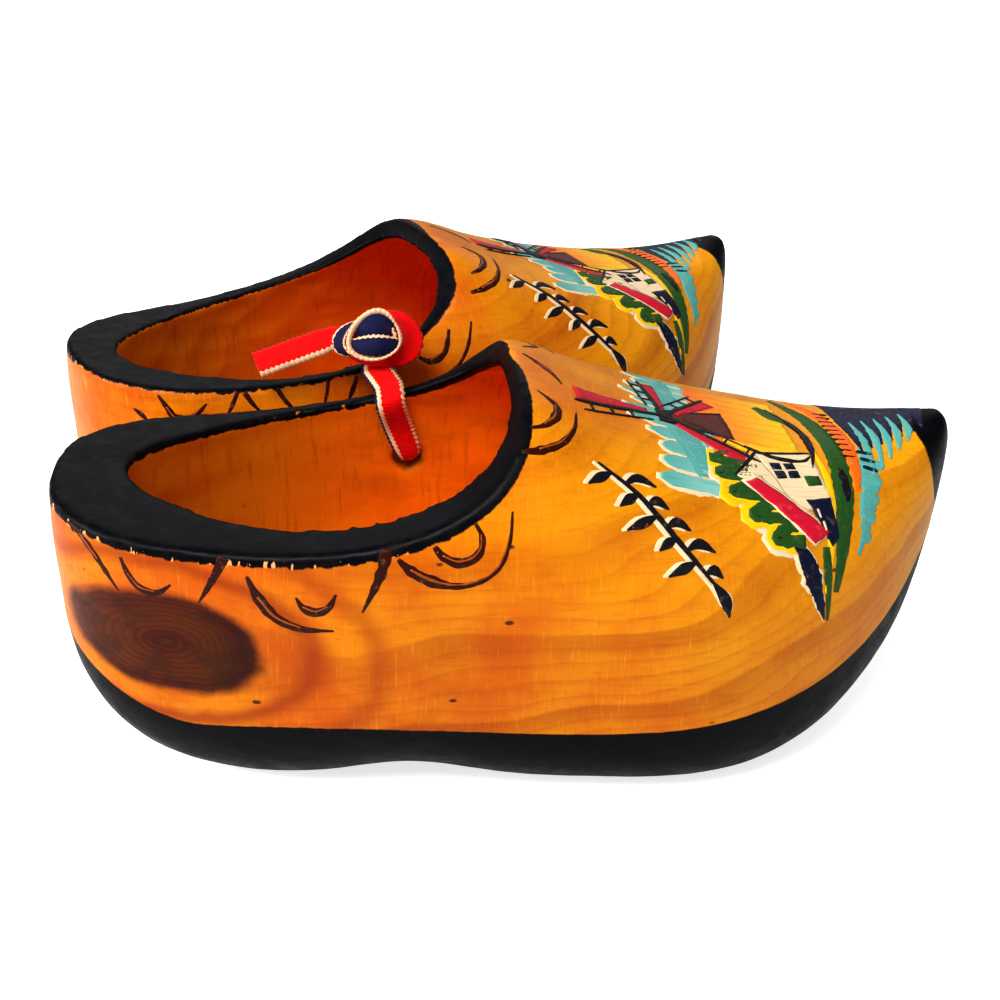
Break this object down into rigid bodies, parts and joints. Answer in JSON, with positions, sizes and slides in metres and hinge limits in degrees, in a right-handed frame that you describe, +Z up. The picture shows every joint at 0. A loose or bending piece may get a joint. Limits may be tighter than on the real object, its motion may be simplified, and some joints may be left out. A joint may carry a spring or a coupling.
{
  "type": "wooden clog pair",
  "caption": "Pair of small carved wooden clogs with hollowed footbeds, raised toes and painted soles and rims, held together by a knotted ribbon through their inner walls.",
  "frame": {"origin": "on the floor, at the centre of the right clog's flat heel pad", "axes": "+Z up, +X from the right clog's heel towards its toe, +Y from the right clog towards the left one"},
  "size_m": [0.1459, 0.1359, 0.0604],
  "materials": {
    "painted_wood": "amber varnish over pine, with dark painted rims and soles",
    "ribbon": "ribbed woven ribbon, striped dark blue, white and red"
  },
  "bodies": {
    "right_clog": {"right_clog": "painted_wood", "ribbon_right_leg": "ribbon"},
    "ribbon": {"ribbon_knot": "ribbon", "ribbon_bridge": "ribbon"},
    "left_clog": {"left_clog": "painted_wood", "ribbon_left_leg": "ribbon"},
    "long_tail": {"ribbon_long_tail": "ribbon"},
    "short_tail": {"ribbon_short_tail": "ribbon"}
  },
  "joints": [
    {"name": "ribbon_swing", "type": "hinge", "parent": "right_clog", "child": "ribbon", "pos_m": [0.024, 0.0259, 0.033], "axis": [0, 1, 0], "range_deg": [-12, 12]},
    {"name": "left_clog_splay", "type": "hinge", "parent": "ribbon", "child": "left_clog", "pos_m": [0.0262, 0.0359, 0.033], "axis": [0, 0, 1], "range_deg": [-19, 4]},
    {"name": "long_tail_flex", "type": "hinge", "parent": "ribbon", "child": "long_tail", "pos_m": [0.01282, 0.03092, 0.0528], "axis": [0, 0.8, 0.6], "range_deg": [-10, 40]},
    {"name": "short_tail_flex", "type": "hinge", "parent": "ribbon", "child": "short_tail", "pos_m": [0.02122, 0.0362, 0.0528], "axis": [0.9511, -0.309, 0], "range_deg": [-5, 40]}
  ]
}
